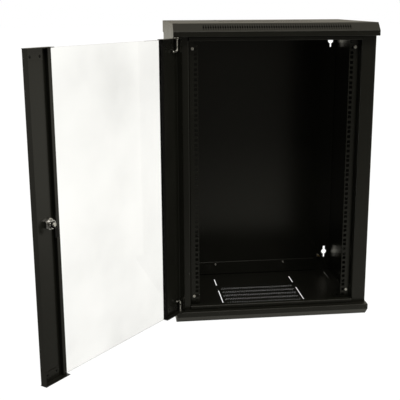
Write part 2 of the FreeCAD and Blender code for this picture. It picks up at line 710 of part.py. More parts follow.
def keyhole_tool():
    """Lower right wall keyhole: a round bore with a slot above and a narrower slot below."""
    x = KEYHOLE_SIDE
    y0 = REAR_INSIDE - CUT_MARGIN
    deep = REAR_SHEET + 2 * CUT_MARGIN
    back = Vector(0, 1, 0)
    tool = rod(KEYHOLE_BORE, Vector(x, y0, KEYHOLE_HEIGHT), back, deep)
    for width, sign in ((KEYHOLE_UPPER_SLOT, 1), (KEYHOLE_LOWER_SLOT, -1)):
        tip = KEYHOLE_HEIGHT + sign * (KEYHOLE_REACH - width / 2)
        z0, z1 = sorted((KEYHOLE_HEIGHT, tip))
        tool = tool.fuse(box(x - width / 2, x + width / 2, y0, y0 + deep, z0, z1))
        tool = tool.fuse(rod(width, Vector(x, y0, tip), back, deep))
    return tool.removeSplitter()


def rear_panel():
    """Rear panel between the side panels, with four wall keyholes and a cable entry at its foot."""
    side = PANEL_FACE - PANEL_SHEET - PANEL_BEND - REAR_SIDE_GAP
    plate = box(-side, side, REAR_INSIDE, BACK - TRAY_SHEET, REAR_END_GAP, HEIGHT - REAR_END_GAP)
    keyhole = keyhole_tool()
    low = [keyhole, other_side(keyhole)]
    lift = HEIGHT - 2 * KEYHOLE_HEIGHT
    tools = low + [piece.translated(Vector(0, 0, lift)) for piece in low]
    entry = CABLE_ENTRY_WIDTH / 2
    y0 = REAR_INSIDE - CUT_MARGIN
    tools.append(box(-entry, entry, y0, BACK, CABLE_ENTRY_LOW, TRAY_HEIGHT))
    back = Vector(0, 1, 0)
    deep = REAR_SHEET + 2 * CUT_MARGIN
    for x, z in rear_screw_places():
        tools.append(rod(M4_SHANK, Vector(x, y0, z), back, deep))
    for x, z in cover_screw_places():
        tools.append(rod(M4_SHANK, Vector(x, y0, z), back, deep))
    tools.append(rod(M6_SHANK, Vector(HALF - EARTH_STUD_MARGIN, y0, EARTH_STUD_HEIGHT), back, deep))
    return pierced(plate, tools)


def cover_screw_places():
    """Side and height of the screws in the cable-entry cover."""
    z = REAR_END_GAP + COVER_HEIGHT - COVER_SCREW_DROP
    return [(side * (CABLE_ENTRY_WIDTH / 2 + COVER_SCREW_MARGIN), z) for side in (-1, 1)]


def cable_cover():
    """Cover over the cable entry, inside the rear panel, with its long edges folded back to it."""
    side = HALF - COVER_SIDE_MARGIN
    top = REAR_END_GAP + COVER_HEIGHT
    face = REAR_INSIDE - COVER_DEPTH
    path = [(REAR_INSIDE, top), (face, top), (face, REAR_END_GAP), (REAR_INSIDE, REAR_END_GAP)]
    plate = crosswise(bent_face(path, COVER_SHEET, COVER_BEND), -side, side)
    back = Vector(0, 1, 0)
    y0 = face - CUT_MARGIN
    hole = M4_SHANK + 2 * SCREW_HOLE_GAP
    deep = COVER_SHEET + 2 * CUT_MARGIN
    return pierced(plate, [rod(hole, Vector(x, y0, z), back, deep) for x, z in cover_screw_places()])


def cover_screws():
    """The two screws of the cable-entry cover."""
    back = Vector(0, 1, 0)
    y = REAR_INSIDE - COVER_DEPTH
    length = COVER_DEPTH + REAR_SHEET
    places = [Vector(x, y, z) for x, z in cover_screw_places()]
    return [pan_screw(place, back, M4_SHANK, M4_HEAD, M4_HEAD_HEIGHT, length) for place in places]


def earth_stud():
    """Earth stud through the rear panel and the nut that clamps it."""
    forward = Vector(0, -1, 0)
    seat = Vector(HALF - EARTH_STUD_MARGIN, REAR_INSIDE, EARTH_STUD_HEIGHT)
    stud = rod(M6_SHANK, seat - forward * REAR_SHEET, forward, REAR_SHEET + EARTH_STUD_LENGTH)
    nut = hex_nut(seat, forward, M6_NUT, M6_SHANK, M6_NUT_HEIGHT)
    return stud, nut


def stile(edge, side, mouth):
    """Angle-shaped door stile from its outer edge to the mouth of its glass channel."""
    path = [(mouth, SKIN_OUT), (edge, SKIN_OUT), (edge, DOOR_BACK)]
    if side > 0:
        path = path[::-1]
    return upright(bent_face(path, DOOR_SHEET, DOOR_BEND), STILE_LOW, STILE_HIGH)


def glass_channel(mouth, side, front, back, wall, bend, grip):
    """Upright U section along a stile, open towards the glass."""
    root = mouth - side * grip
    path = [(mouth, front), (root, front), (root, back), (mouth, back)]
    if side > 0:
        path = path[::-1]
    return upright(bent_face(path, wall, bend), STILE_LOW, STILE_HIGH)


def end_plate(edge, side, mouth, rivets):
    """Bottom end plate of a stile, with a flange riveted to the inside of the skin."""
    far = mouth + side * END_PLATE_TAB
    plate = box(min(edge, far), max(edge, far), SKIN_OUT, DOOR_BACK, DOOR_LOW, STILE_LOW)
    near = edge + side * (rivets[0] - RIVET_EDGE)
    beyond = edge + side * (rivets[-1] + RIVET_EDGE)
    x0, x1 = sorted((near, beyond))
    flange = box(x0, x1, SKIN_IN, SKIN_IN + END_PLATE_SHEET, DOOR_LOW, RIVET_HEIGHT + RIVET_EDGE)
    solid = fused(plate, flange)
    y0 = SKIN_IN - CUT_MARGIN
    deep = END_PLATE_SHEET + 2 * CUT_MARGIN
    places = [Vector(edge + side * inset, y0, RIVET_HEIGHT) for inset in rivets]
    return pierced(solid, [rod(RIVET_SHANK, place, Vector(0, 1, 0), deep) for place in places])


def rivet(x, z):
    """Rivet with a flush end outside and a low head inside."""
    back = Vector(0, 1, 0)
    seat = SKIN_IN + END_PLATE_SHEET
    shank = rod(RIVET_SHANK, Vector(x, SKIN_OUT, z), back, seat - SKIN_OUT)
    head = Part.makeCone(RIVET_HEAD / 2, RIVET_SHANK / 2, RIVET_HEAD_HEIGHT, Vector(x, seat, z), back)
    return fused(shank, head)


def hinge_pin():
    """Lower hinge pin: a rod on the hinge axis whose upper end is bent into a finger hook."""
    low = DOOR_LOW - BUSH_RUN - PIN_REACH
    foot = Vector(HINGE_X, HINGE_Y, low)
    knee = Vector(HINGE_X, HINGE_Y, HOOK_HEIGHT - PIN_HOOK_BEND)
    slant = PIN_HOOK_BEND * (1 - math.sqrt(0.5))
    crown = Vector(HINGE_X + slant, HINGE_Y, HOOK_HEIGHT - slant)
    hook_start = Vector(HINGE_X + PIN_HOOK_BEND, HINGE_Y, HOOK_HEIGHT)
    hook_end = Vector(HINGE_X + PIN_HOOK_LENGTH, HINGE_Y, HOOK_HEIGHT)
    spine = Part.Wire([
        Part.makeLine(foot, knee),
        Part.Arc(knee, crown, hook_start).toShape(),
        Part.makeLine(hook_start, hook_end),
    ])
    section = Part.Wire([Part.makeCircle(PIN_DIAMETER / 2, foot, Vector(0, 0, 1))])
    pin = spine.makePipeShell([section], True, False)
    return pin.makeChamfer(PIN_CHAMFER, edges_about(pin, foot) + edges_about(pin, hook_end))


def ring(bore, outside, z0, z1):
    """Ring about the hinge axis."""
    up = Vector(0, 0, 1)
    start = Vector(HINGE_X, HINGE_Y, z0)
    return rod(outside, start, up, z1 - z0).cut(rod(bore, start, up, z1 - z0))


def hinge_bush():
    """Lower hinge bush: a flanged sleeve in the ledge, on which the door turns."""
    bore = PIN_DIAMETER + 2 * PIN_FIT
    flange = ring(bore, BUSH_FLANGE, TRAY_HEIGHT, DOOR_LOW - BUSH_RUN)
    sleeve = ring(bore, bore + 2 * BUSH_WALL, TRAY_HEIGHT - BUSH_LENGTH, TRAY_HEIGHT)
    return fused(flange, sleeve)


def pin_guide():
    """Lower pin guide: an angle welded in the hinge stile, which steadies the pin and seats its spring."""
    x0 = HINGE_X - GUIDE_WIDTH / 2
    x1 = HINGE_X + GUIDE_WIDTH / 2
    top = GUIDE_SHELF + GUIDE_SHEET
    path = [(HINGE_Y + GUIDE_REACH, top), (SKIN_IN, top), (SKIN_IN, STILE_LOW + COLLAR_GAP)]
    angle = crosswise(bent_face(path, GUIDE_SHEET, GUIDE_BEND), x0, x1)
    start = Vector(HINGE_X, HINGE_Y, GUIDE_SHELF - CUT_MARGIN)
    hole = rod(PIN_DIAMETER + 2 * PIN_FIT, start, Vector(0, 0, 1), GUIDE_SHEET + 2 * CUT_MARGIN)
    return angle.cut(hole)


def pin_collar():
    """Lower pin collar, pressed on the pin, which the spring pushes against the end plate."""
    low = STILE_LOW + COLLAR_GAP
    return ring(PIN_DIAMETER, COLLAR_DIAMETER, low, low + COLLAR_HEIGHT)


def pin_spring(low):
    """Pin spring from its lower end, wound about the pin between its collar and the guide."""
    radius = PIN_DIAMETER / 2 + SPRING_CLEARANCE + SPRING_WIRE / 2
    length = GUIDE_SHELF - SPRING_LOW - SPRING_WIRE
    count = SPRING_TURNS * SPRING_STEPS
    points = []
    for i in range(count + 1):
        turn = 2 * math.pi * i / SPRING_STEPS
        points.append(Vector(radius * math.cos(turn), radius * math.sin(turn), length * i / count))
    section = Part.Wire([Part.makeCircle(SPRING_WIRE / 2, points[0], points[1] - points[0])])
    spring = Part.makePolygon(points).makePipeShell([section], True, False, 1)
    spring.translate(Vector(HINGE_X, HINGE_Y, low + SPRING_WIRE / 2))
    return spring


def lock_bar(diameter, y0, y1):
    """Round bar on the lock's axis."""
    return rod(diameter, Vector(LOCK_X, y0, LOCK_HEIGHT), Vector(0, 1, 0), y1 - y0)


def lock_housing():
    """Fixed body of the lock, with its round head outside the door."""
    face = SKIN_OUT - LOCK_HEAD_DEPTH
    head = lock_bar(LOCK_HEAD, face, SKIN_OUT)
    head = head.makeFillet(HEAD_ROUND, edges_about(head, Vector(LOCK_X, face, LOCK_HEIGHT)))
    body = lock_bar(LOCK_BODY, SKIN_OUT, LOCK_END)
    bore = lock_bar(LOCK_PLUG + 2 * LOCK_FIT, face - CUT_MARGIN, LOCK_END + CUT_MARGIN)
    return fused(head, body).cut(bore)


def lock_plug():
    """Turning plug of the lock, slotted for a key in front and squared for the cam behind."""
    face = SKIN_OUT - LOCK_HEAD_DEPTH
    barrel = lock_bar(LOCK_PLUG, face, CAM_FACE)
    half = LOCK_SQUARE / 2
    tang_end = CAM_FACE + CAM_SHEET
    tang = box(LOCK_X - half, LOCK_X + half, CAM_FACE, tang_end, LOCK_HEIGHT - half, LOCK_HEIGHT + half)
    slot_half = KEY_SLOT_WIDTH / 2
    slot_high = KEY_SLOT_HEIGHT / 2
    slot = box(LOCK_X - slot_half, LOCK_X + slot_half, face - CUT_MARGIN, face + KEY_SLOT_DEPTH,
               LOCK_HEIGHT - slot_high, LOCK_HEIGHT + slot_high)
    screw_hole = lock_bar(M5_SHANK, CAM_FACE - SCREW_POINT, tang_end + CUT_MARGIN)
    return fused(barrel, tang).cut(slot).cut(screw_hole)


def lock_cam():
    """Cranked cam, pointing down, whose blade reaches behind the face of the right post when it is turned."""
    z = LOCK_HEIGHT
    path = [
        (CAM_FACE, z + CAM_HUB),
        (CAM_FACE, z - CAM_CRANK),
        (BLADE_FACE, z - CAM_CRANK),
        (BLADE_FACE, z - CAM_BLADE),
    ]
    section = bent_face(path, CAM_SHEET, CAM_BEND)
    cam = crosswise(section, LOCK_X - CAM_WIDTH / 2, LOCK_X + CAM_WIDTH / 2)
    half = LOCK_SQUARE / 2 + LOCK_SQUARE_FIT
    y0 = CAM_FACE - CUT_MARGIN
    y1 = CAM_FACE + CAM_SHEET + CUT_MARGIN
    return cam.cut(box(LOCK_X - half, LOCK_X + half, y0, y1, z - half, z + half))


def cam_screw():
    """Flanged hexagon screw that holds the cam on the plug."""
    seat = CAM_FACE + CAM_SHEET
    shank = lock_bar(M5_SHANK, CAM_FACE - SCREW_POINT, seat)
    flange = lock_bar(CAM_SCREW_FLANGE, seat, seat + CAM_SCREW_RIM)
    back = Vector(0, 1, 0)
    outline = hexagon(Vector(LOCK_X, seat, LOCK_HEIGHT), back, M5_NUT)
    head = Part.Face(Part.makePolygon(outline)).extrude(back * CAM_SCREW_HEAD)
    return fused(flange, head, shank)


def build_body():
    """Trays, panels, posts and door stops, and what holds them together."""
    floor = tray()
    roof = other_end(tray())
    parts["bottom_tray"] = floor
    parts["top_cover"] = pierced(roof, vent_tools())
    panel = side_panel()
    parts["right_side_panel"] = panel
    parts["left_side_panel"] = other_side(panel)
    screws = side_panel_screws()
    parts["side_panel_screws"] = Part.makeCompound(screws + [other_side(screw) for screw in screws])
    post = front_post()
    parts["right_front_post"] = post.cut(lock_slot_tool())
    parts["left_front_post"] = other_side(post)
    screws, nuts = post_fixings()
    parts["post_screws"] = Part.makeCompound([copy for screw in screws for copy in four_corners(screw)])
    parts["post_nuts"] = Part.makeCompound([copy for nut in nuts for copy in four_corners(nut)])
    stop = door_stop()
    parts["lower_door_stop"] = stop
    parts["upper_door_stop"] = other_end(stop)
    parts["rear_panel"] = rear_panel()
    parts["rear_panel_screws"] = Part.makeCompound([csk_screw(x, z) for x, z in rear_screw_places()])
    parts["cable_entry_cover"] = cable_cover()
    parts["cable_cover_screws"] = Part.makeCompound(cover_screws())
    parts["earth_stud"], parts["earth_nut"] = earth_stud()


def build_rails():
    """Rack rails, their feet and their fixings."""
    rail = rack_rail()
    parts["right_rack_rail"] = rail
    parts["left_rack_rail"] = other_side(rail)
    feet = four_corners(rail_foot())
    names = ("right_lower_rail_foot", "left_lower_rail_foot", "right_upper_rail_foot", "left_upper_rail_foot")
    for name, foot in zip(names, feet):
        parts[name] = foot
    screw, nut, holders = rail_fixings()
    parts["rail_screws"] = Part.makeCompound(four_corners(screw))
    parts["rail_nuts"] = Part.makeCompound(four_corners(nut))
    copies = [copy for holder in holders for copy in four_corners(holder)]
    parts["rail_foot_screws"] = Part.makeCompound(copies)


def build_leaf():
    """Stiles, glass and end plates of the door."""
    hole = lock_bar(LOCK_BODY + 2 * LOCK_HOLE_GAP, SKIN_OUT - CUT_MARGIN, SKIN_IN + CUT_MARGIN)
    hinge_side = ("hinge", DOOR_LEFT, 1, HINGE_STILE_WIDTH, HINGE_RIVET_INSET)
    lock_side = ("lock", DOOR_RIGHT, -1, LOCK_STILE_WIDTH, RIVET_INSET)
    rivets = []
    for name, edge, side, width, near_rivet in (hinge_side, lock_side):
        mouth = edge + side * width
        insets = [near_rivet, width - RIVET_FAR_MARGIN]
        holes = []
        for inset in insets:
            x = edge + side * inset
            low = rivet(x, RIVET_HEIGHT)
            rivets += [low, other_end(low)]
            start = Vector(x, SKIN_OUT - CUT_MARGIN, RIVET_HEIGHT)
            low_hole = rod(RIVET_SHANK, start, Vector(0, 1, 0), DOOR_SHEET + 2 * CUT_MARGIN)
            holes += [low_hole, other_end(low_hole)]
        if name == "lock":
            holes.append(hole)
        parts[name + "_stile"] = swung(pierced(stile(edge, side, mouth), holes))
        plate = end_plate(edge, side, mouth, insets)
        if name == "hinge":
            axis = Vector(HINGE_X, HINGE_Y, 0)
            plate = plate.cut(rod(PIN_DIAMETER + 2 * PIN_FIT, axis, Vector(0, 0, 1), HEIGHT / 2))
        parts[name + "_stile_bottom_plate"] = swung(plate)
        parts[name + "_stile_top_plate"] = swung(other_end(plate))
        channel_back = POCKET_BACK + CHANNEL_SHEET
        channel = glass_channel(mouth, side, SKIN_IN, channel_back, CHANNEL_SHEET, CHANNEL_BEND, CHANNEL_GRIP)
        parts[name + "_glazing_channel"] = swung(channel)
        gasket = glass_channel(mouth, side, POCKET_FRONT, POCKET_BACK, GASKET_WALL, GASKET_BEND, GASKET_GRIP)
        parts[name + "_glass_gasket"] = swung(gasket)
    parts["door_rivets"] = swung(Part.makeCompound(rivets))
    left = DOOR_LEFT + HINGE_STILE_WIDTH - GLASS_GRIP
    right = DOOR_RIGHT - LOCK_STILE_WIDTH + GLASS_GRIP
    low = STILE_LOW + GLASS_END_GAP
    pane = box(left, right, GLASS_FRONT, GLASS_BACK, low, HEIGHT - low)
    pane = pane.makeChamfer(GLASS_ARRIS, pane.Edges)
    parts["glass_pane"] = swung(pane)


def build_hinges():
    """Bushes in the body, and the sprung pins that the door carries."""
    bush = hinge_bush()
    parts["lower_hinge_bush"] = bush
    parts["upper_hinge_bush"] = other_end(bush)
    pieces = {
        "hinge_pin": hinge_pin(),
        "pin_collar": pin_collar(),
        "pin_guide": pin_guide(),
    }
    for name, piece in pieces.items():
        parts["lower_" + name] = swung(piece)
        parts["upper_" + name] = swung(other_end(piece))
    parts["lower_pin_spring"] = swung(pin_spring(SPRING_LOW))
    parts["upper_pin_spring"] = swung(pin_spring(HEIGHT - GUIDE_SHELF))


def build_lock():
    """Cam lock in the lock stile."""
    parts["lock_housing"] = swung(lock_housing())
    nut = hex_nut(Vector(LOCK_X, SKIN_IN, LOCK_HEIGHT), Vector(0, 1, 0), LOCK_NUT, LOCK_BODY, LOCK_NUT_DEPTH)
    parts["lock_nut"] = swung(nut)
    parts["lock_plug"] = swung(lock_plug())
    parts["lock_cam"] = swung(lock_cam())
    parts["cam_screw"] = swung(cam_screw())


build_body()
build_rails()
build_leaf()
build_hinges()
build_lock()

os.makedirs("parts", exist_ok=True)
for node, shape in parts.items():
    shape.exportStep("parts/" + node + ".step")
    print(node, len(shape.Solids), "solids, valid", shape.isValid(), "volume", round(shape.Volume, 1))
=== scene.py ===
"""Looks of a wall-mounted rack cabinet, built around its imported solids.

Metres. X runs left to right, Y from the front to the back, Z up. Every solid keeps its place and its shape.
This script gives each one its finish, puts shaped fasteners and springs in the place of plain ones, and sets
up the studio.
"""

import json
import logging
import math
from dataclasses import dataclass
from enum import Enum
from typing import Protocol

import bpy
from mathutils import Matrix, Vector


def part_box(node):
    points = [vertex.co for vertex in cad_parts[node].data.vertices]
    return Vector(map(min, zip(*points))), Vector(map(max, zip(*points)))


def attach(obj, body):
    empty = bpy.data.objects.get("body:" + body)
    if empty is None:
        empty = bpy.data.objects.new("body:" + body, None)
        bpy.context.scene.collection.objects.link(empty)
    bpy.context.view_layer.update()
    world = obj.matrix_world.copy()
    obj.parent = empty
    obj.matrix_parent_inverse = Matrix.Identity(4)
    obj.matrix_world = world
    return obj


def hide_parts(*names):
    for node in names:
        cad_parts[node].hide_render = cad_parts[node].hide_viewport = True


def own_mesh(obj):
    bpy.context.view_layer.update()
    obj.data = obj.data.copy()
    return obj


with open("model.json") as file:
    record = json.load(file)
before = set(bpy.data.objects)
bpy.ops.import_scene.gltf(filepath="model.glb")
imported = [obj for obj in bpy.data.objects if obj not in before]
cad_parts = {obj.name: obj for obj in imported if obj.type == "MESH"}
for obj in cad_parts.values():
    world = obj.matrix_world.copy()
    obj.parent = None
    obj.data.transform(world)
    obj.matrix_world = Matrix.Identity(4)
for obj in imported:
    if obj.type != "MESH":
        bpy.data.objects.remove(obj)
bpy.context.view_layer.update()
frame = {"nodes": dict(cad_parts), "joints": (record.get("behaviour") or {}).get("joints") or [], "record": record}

LOG = logging.getLogger("rack_cabinet")
MM = 0.001
SMOOTH_ANGLE = math.radians(35)
SAME_WAY = 0.99
WELD_DISTANCE = 0.001 * MM
EDGE_SEGMENTS = 2
ROUND_SIDES = 48
HEXAGON_SIDES = 6
RIDGE_CORNERS = 3
NOISE_MIDDLE = 0.5

# A Mix node has sockets for numbers, vectors and colours, and these are the colours'.
MIX_LOW = 6
MIX_HIGH = 7
MIX_RESULT = 2

Piece = bpy.types.Object
Tree = bpy.types.NodeTree
Group = bpy.types.ShaderNodeTree
Socket = bpy.types.NodeSocket
Triple = tuple[float, float, float]
Colour = Triple
BLACK: Colour = (0.0, 0.0, 0.0)
WHITE: Colour = (1.0, 1.0, 1.0)

NODES: dict[str, Piece] = frame["nodes"]
JOINTS: dict[str, dict] = {joint["name"]: joint for joint in frame["joints"]}
SLOT_OF: dict[str, str] = {part["node"]: part["material_slot"] for part in frame["record"]["subparts"]}


class Slot(Enum):
    """Material slots of the record."""

    POWDER_COAT = "black_powder_coat"
    BLACK_ZINC = "black_zinc"
    BRIGHT_ZINC = "bright_zinc"
    SPRING_STEEL = "spring_steel"
    BRASS = "brass"
    CHROME = "chrome"
    GLASS = "clear_glass"
    RUBBER = "black_rubber"


class Shaping(Enum):
    """Ways in which one mesh shapes another."""

    KEEP_SHARED = "INTERSECT"
    CUT_AWAY = "DIFFERENCE"


class Coordinate(Enum):
    """Texture coordinates that the studio's light follows."""

    PLACE = "Object"
    DIRECTION = "Generated"


class Effect(Enum):
    """Surface effects that several finishes share."""

    GRAIN = "fine_grain"
    PATCHES = "uneven_gloss"
    DUST = "settled_dust"
    DRAWN = "drawn_lines"


def rgba(colour: Colour) -> tuple[float, float, float, float]:
    """The colour with full opacity."""
    return (*colour, 1.0)


def new_group(name: str, inputs: dict[str, float], outputs: dict[str, str]) -> Group:
    """Start a shader node group with named sockets.

    Args:
        name: the group's name.
        inputs: each input's name and default value.
        outputs: each output's name and socket type.

    Returns:
        The group, holding only its input and output nodes.
    """
    group = bpy.data.node_groups.new(name, "ShaderNodeTree")
    for label, value in inputs.items():
        socket = group.interface.new_socket(label, in_out="INPUT", socket_type="NodeSocketFloat")
        socket.default_value = value
    for label, kind in outputs.items():
        group.interface.new_socket(label, in_out="OUTPUT", socket_type=kind)
    group.nodes.new("NodeGroupInput").name = "in"
    group.nodes.new("NodeGroupOutput").name = "out"
    return group


def math_node(tree: Tree, operation: str, *values: Socket | float) -> Socket:
    """Add a Math node.

    Args:
        tree: the tree that gets the node.
        operation: the node's operation.
        values: numbers, or sockets to link, in the order of the node's inputs.

    Returns:
        The node's output.
    """
    node = tree.nodes.new("ShaderNodeMath")
    node.operation = operation
    for socket, value in zip(node.inputs, values):
        if isinstance(value, Socket):
            tree.links.new(value, socket)
        else:
            socket.default_value = value
    return node.outputs[0]


def noise(tree: Tree, vector: Socket, cell: Socket | float, detail: float) -> Socket:
    """Add noise of a given cell size.

    Args:
        tree: the tree that gets the nodes.
        vector: the place that the noise is read at.
        cell: the size of a cell in metres, as a number or a socket.
        detail: how many finer layers are added.

    Returns:
        The noise's value, from 0 to 1.
    """
    node = tree.nodes.new("ShaderNodeTexNoise")
    node.inputs["Detail"].default_value = detail
    tree.links.new(vector, node.inputs["Vector"])
    tree.links.new(math_node(tree, "DIVIDE", 1.0, cell), node.inputs["Scale"])
    return node.outputs["Fac"]


def mixed(tree: Tree, mask: Socket, low: Socket | Colour, high: Socket | Colour) -> Socket:
    """Mix two colours by a mask.

    Args:
        tree: the tree that gets the node.
        mask: 0 gives low, and 1 gives high.
        low: a colour, or a socket.
        high: a colour, or a socket.

    Returns:
        The mixed colour.
    """
    node = tree.nodes.new("ShaderNodeMix")
    node.data_type = "RGBA"
    tree.links.new(mask, node.inputs["Factor"])
    for socket, colour in ((node.inputs[MIX_LOW], low), (node.inputs[MIX_HIGH], high)):
        if isinstance(colour, Socket):
            tree.links.new(colour, socket)
        else:
            socket.default_value = rgba(colour)
    return node.outputs[MIX_RESULT]


def object_place(tree: Tree) -> Socket:
    """Place on the object, which is the place in the part's own frame."""
    return tree.nodes.new("ShaderNodeTexCoord").outputs["Object"]


def grain_group() -> Group:
    """Fine even bumps, such as the orange peel of a powder coat.

    Returns:
        The effect as a node group.
    """
    inputs = {"Cell Size": 1.2 * MM, "Depth": 0.02 * MM}
    group = new_group(Effect.GRAIN.value, inputs, {"Height": "NodeSocketFloat"})
    inside = group.nodes["in"]
    value = noise(group, object_place(group), inside.outputs["Cell Size"], detail=1.0)
    height = math_node(group, "MULTIPLY", value, inside.outputs["Depth"])
    group.links.new(height, group.nodes["out"].inputs["Height"])
    return group


def patches_group() -> Group:
    """Gloss that varies in soft patches, from curing, wiping and handling.

    Returns:
        The effect as a node group.
    """
    inputs = {"Roughness": 0.3, "Spread": 0.1, "Patch Size": 60 * MM, "Shift": 0.0}
    outputs = {"Roughness": "NodeSocketFloat", "Mask": "NodeSocketFloat"}
    group = new_group(Effect.PATCHES.value, inputs, outputs)
    inside = group.nodes["in"]
    moved = group.nodes.new("ShaderNodeVectorMath")
    group.links.new(object_place(group), moved.inputs[0])
    group.links.new(inside.outputs["Shift"], moved.inputs[1])
    value = noise(group, moved.outputs["Vector"], inside.outputs["Patch Size"], detail=3.0)
    centred = math_node(group, "SUBTRACT", value, NOISE_MIDDLE)
    varied = math_node(group, "MULTIPLY_ADD", centred, inside.outputs["Spread"], inside.outputs["Roughness"])
    group.links.new(varied, group.nodes["out"].inputs["Roughness"])
    group.links.new(value, group.nodes["out"].inputs["Mask"])
    return group


def dust_group() -> Group:
    """Specks of dust, and a dull film of it, on whatever faces up.

    Returns:
        The effect as a node group.
    """
    inputs = {"Amount": 0.3, "Speck Size": 3 * MM, "Sharpness": 3.0}
    outputs = {"Mask": "NodeSocketFloat", "Film": "NodeSocketFloat"}
    group = new_group(Effect.DUST.value, inputs, outputs)
    inside = group.nodes["in"]
    geometry = group.nodes.new("ShaderNodeNewGeometry")
    facing = group.nodes.new("ShaderNodeSeparateXYZ")
    group.links.new(geometry.outputs["Normal"], facing.inputs[0])
    upward = math_node(group, "MAXIMUM", facing.outputs["Z"], 0.0)
    speck = noise(group, object_place(group), inside.outputs["Speck Size"], detail=4.0)
    sharp = math_node(group, "POWER", speck, inside.outputs["Sharpness"])
    settled = math_node(group, "MULTIPLY", upward, sharp)
    mask = math_node(group, "MULTIPLY", settled, inside.outputs["Amount"])
    group.links.new(mask, group.nodes["out"].inputs["Mask"])
    group.links.new(upward, group.nodes["out"].inputs["Film"])
    return group


def drawn_group() -> Group:
    """Fine lines along Z, such as those of turned, drawn or rolled metal.

    Returns:
        The effect as a node group.
    """
    inputs = {"Line Width": 0.3 * MM, "Line Length": 12 * MM}
    group = new_group(Effect.DRAWN.value, inputs, {"Value": "NodeSocketFloat"})
    inside = group.nodes["in"]
    split = group.nodes.new("ShaderNodeSeparateXYZ")
    group.links.new(object_place(group), split.inputs[0])
    ratio = math_node(group, "DIVIDE", inside.outputs["Line Width"], inside.outputs["Line Length"])
    joined = group.nodes.new("ShaderNodeCombineXYZ")
    group.links.new(split.outputs["X"], joined.inputs["X"])
    group.links.new(split.outputs["Y"], joined.inputs["Y"])
    group.links.new(math_node(group, "MULTIPLY", split.outputs["Z"], ratio), joined.inputs["Z"])
    value = noise(group, joined.outputs[0], inside.outputs["Line Width"], detail=2.0)
    group.links.new(value, group.nodes["out"].inputs["Value"])
    return group


GROUP_MAKERS = {
    Effect.GRAIN: grain_group,
    Effect.PATCHES: patches_group,
    Effect.DUST: dust_group,
    Effect.DRAWN: drawn_group,
}
GROUPS: dict[Effect, Group] = {effect: make() for effect, make in GROUP_MAKERS.items()}


class Surface:
    """One material's node tree, with short calls for what the finishes have in common."""

    def __init__(self, name: str) -> None:
        """Start a material that holds only a Principled shader.

        Args:
            name: the material's name.
        """
        self.material = bpy.data.materials.new(name)
        self.material.use_nodes = True
        self.tree = self.material.node_tree
        self.shader = self.tree.nodes["Principled BSDF"]

    def set(self, **values: object) -> None:
        """Set constant values on the shader, named with underscores for spaces."""
        for label, value in values.items():
            self.shader.inputs[label.replace("_", " ")].default_value = value

    def link(self, socket: Socket, label: str) -> None:
        """Link a socket to an input of the shader."""
        self.tree.links.new(socket, self.shader.inputs[label])

    def effect(self, effect: Effect, **values: float) -> bpy.types.Node:
        """Place a shared effect.

        Args:
            effect: which one.
            values: its inputs, named with underscores for spaces.

        Returns:
            The group node.
        """
        node = self.tree.nodes.new("ShaderNodeGroup")
        node.node_tree = GROUPS[effect]
        for label, value in values.items():
            node.inputs[label.replace("_", " ")].default_value = value
        return node

    def bump(self, height: Socket) -> None:
        """Raise the surface by a height.

        Args:
            height: in metres.
        """
        node = self.tree.nodes.new("ShaderNodeBump")
        node.inputs["Distance"].default_value = 1.0
        self.tree.links.new(height, node.inputs["Height"])
        self.link(node.outputs["Normal"], "Normal")


class Finish(Protocol):
    """Anything that can make a material."""

    def material(self) -> bpy.types.Material:
        """The finish as a material."""


@dataclass(frozen=True)
class PowderCoat:
    """Semi-gloss powder coat on sheet steel."""

    name: str
    colour: Colour
    thin_colour: Colour
    dust_colour: Colour
    roughness: float
    spread: float
    specular: float
    patch: float = 90 * MM
    peel_cell: float = 1.6 * MM
    peel_depth: float = 0.012 * MM
    dust: float = 0.10
    speck: float = 2.5 * MM
    film_roughness: float = 0.15

    def material(self) -> bpy.types.Material:
        """Build the finish's nodes.

        Returns:
            The finish as a material.
        """
        surface = Surface(self.name)
        gloss = surface.effect(
            Effect.PATCHES, Roughness=self.roughness, Spread=self.spread, Patch_Size=self.patch,
        )
        paint = mixed(surface.tree, gloss.outputs["Mask"], self.colour, self.thin_colour)
        dust = surface.effect(Effect.DUST, Amount=self.dust, Speck_Size=self.speck)
        film = math_node(surface.tree, "MULTIPLY", dust.outputs["Film"], self.film_roughness)
        dulled = math_node(surface.tree, "ADD", film, gloss.outputs["Roughness"])
        surface.link(dulled, "Roughness")
        surface.link(mixed(surface.tree, dust.outputs["Mask"], paint, self.dust_colour), "Base Color")
        peel = surface.effect(Effect.GRAIN, Cell_Size=self.peel_cell, Depth=self.peel_depth)
        surface.bump(peel.outputs["Height"])
        surface.set(Specular_IOR_Level=self.specular)
        return surface.material


@dataclass(frozen=True)
class PlatedMetal:
    """Bare or plated metal, with drawn lines and a slightly uneven polish."""

    name: str
    colour: Colour
    dull_colour: Colour
    roughness: float
    spread: float
    line_width: float = 0.25 * MM
    line_length: float = 8 * MM
    line_depth: float = 0.004 * MM
    patch: float = 6 * MM

    def material(self) -> bpy.types.Material:
        """Build the finish's nodes.

        Returns:
            The finish as a material.
        """
        surface = Surface(self.name)
        gloss = surface.effect(
            Effect.PATCHES, Roughness=self.roughness, Spread=self.spread, Patch_Size=self.patch,
        )
        surface.link(gloss.outputs["Roughness"], "Roughness")
        surface.link(mixed(surface.tree, gloss.outputs["Mask"], self.colour, self.dull_colour), "Base Color")
        lines = surface.effect(Effect.DRAWN, Line_Width=self.line_width, Line_Length=self.line_length)
        surface.bump(math_node(surface.tree, "MULTIPLY", lines.outputs["Value"], self.line_depth))
        surface.set(Metallic=1.0)
        return surface.material


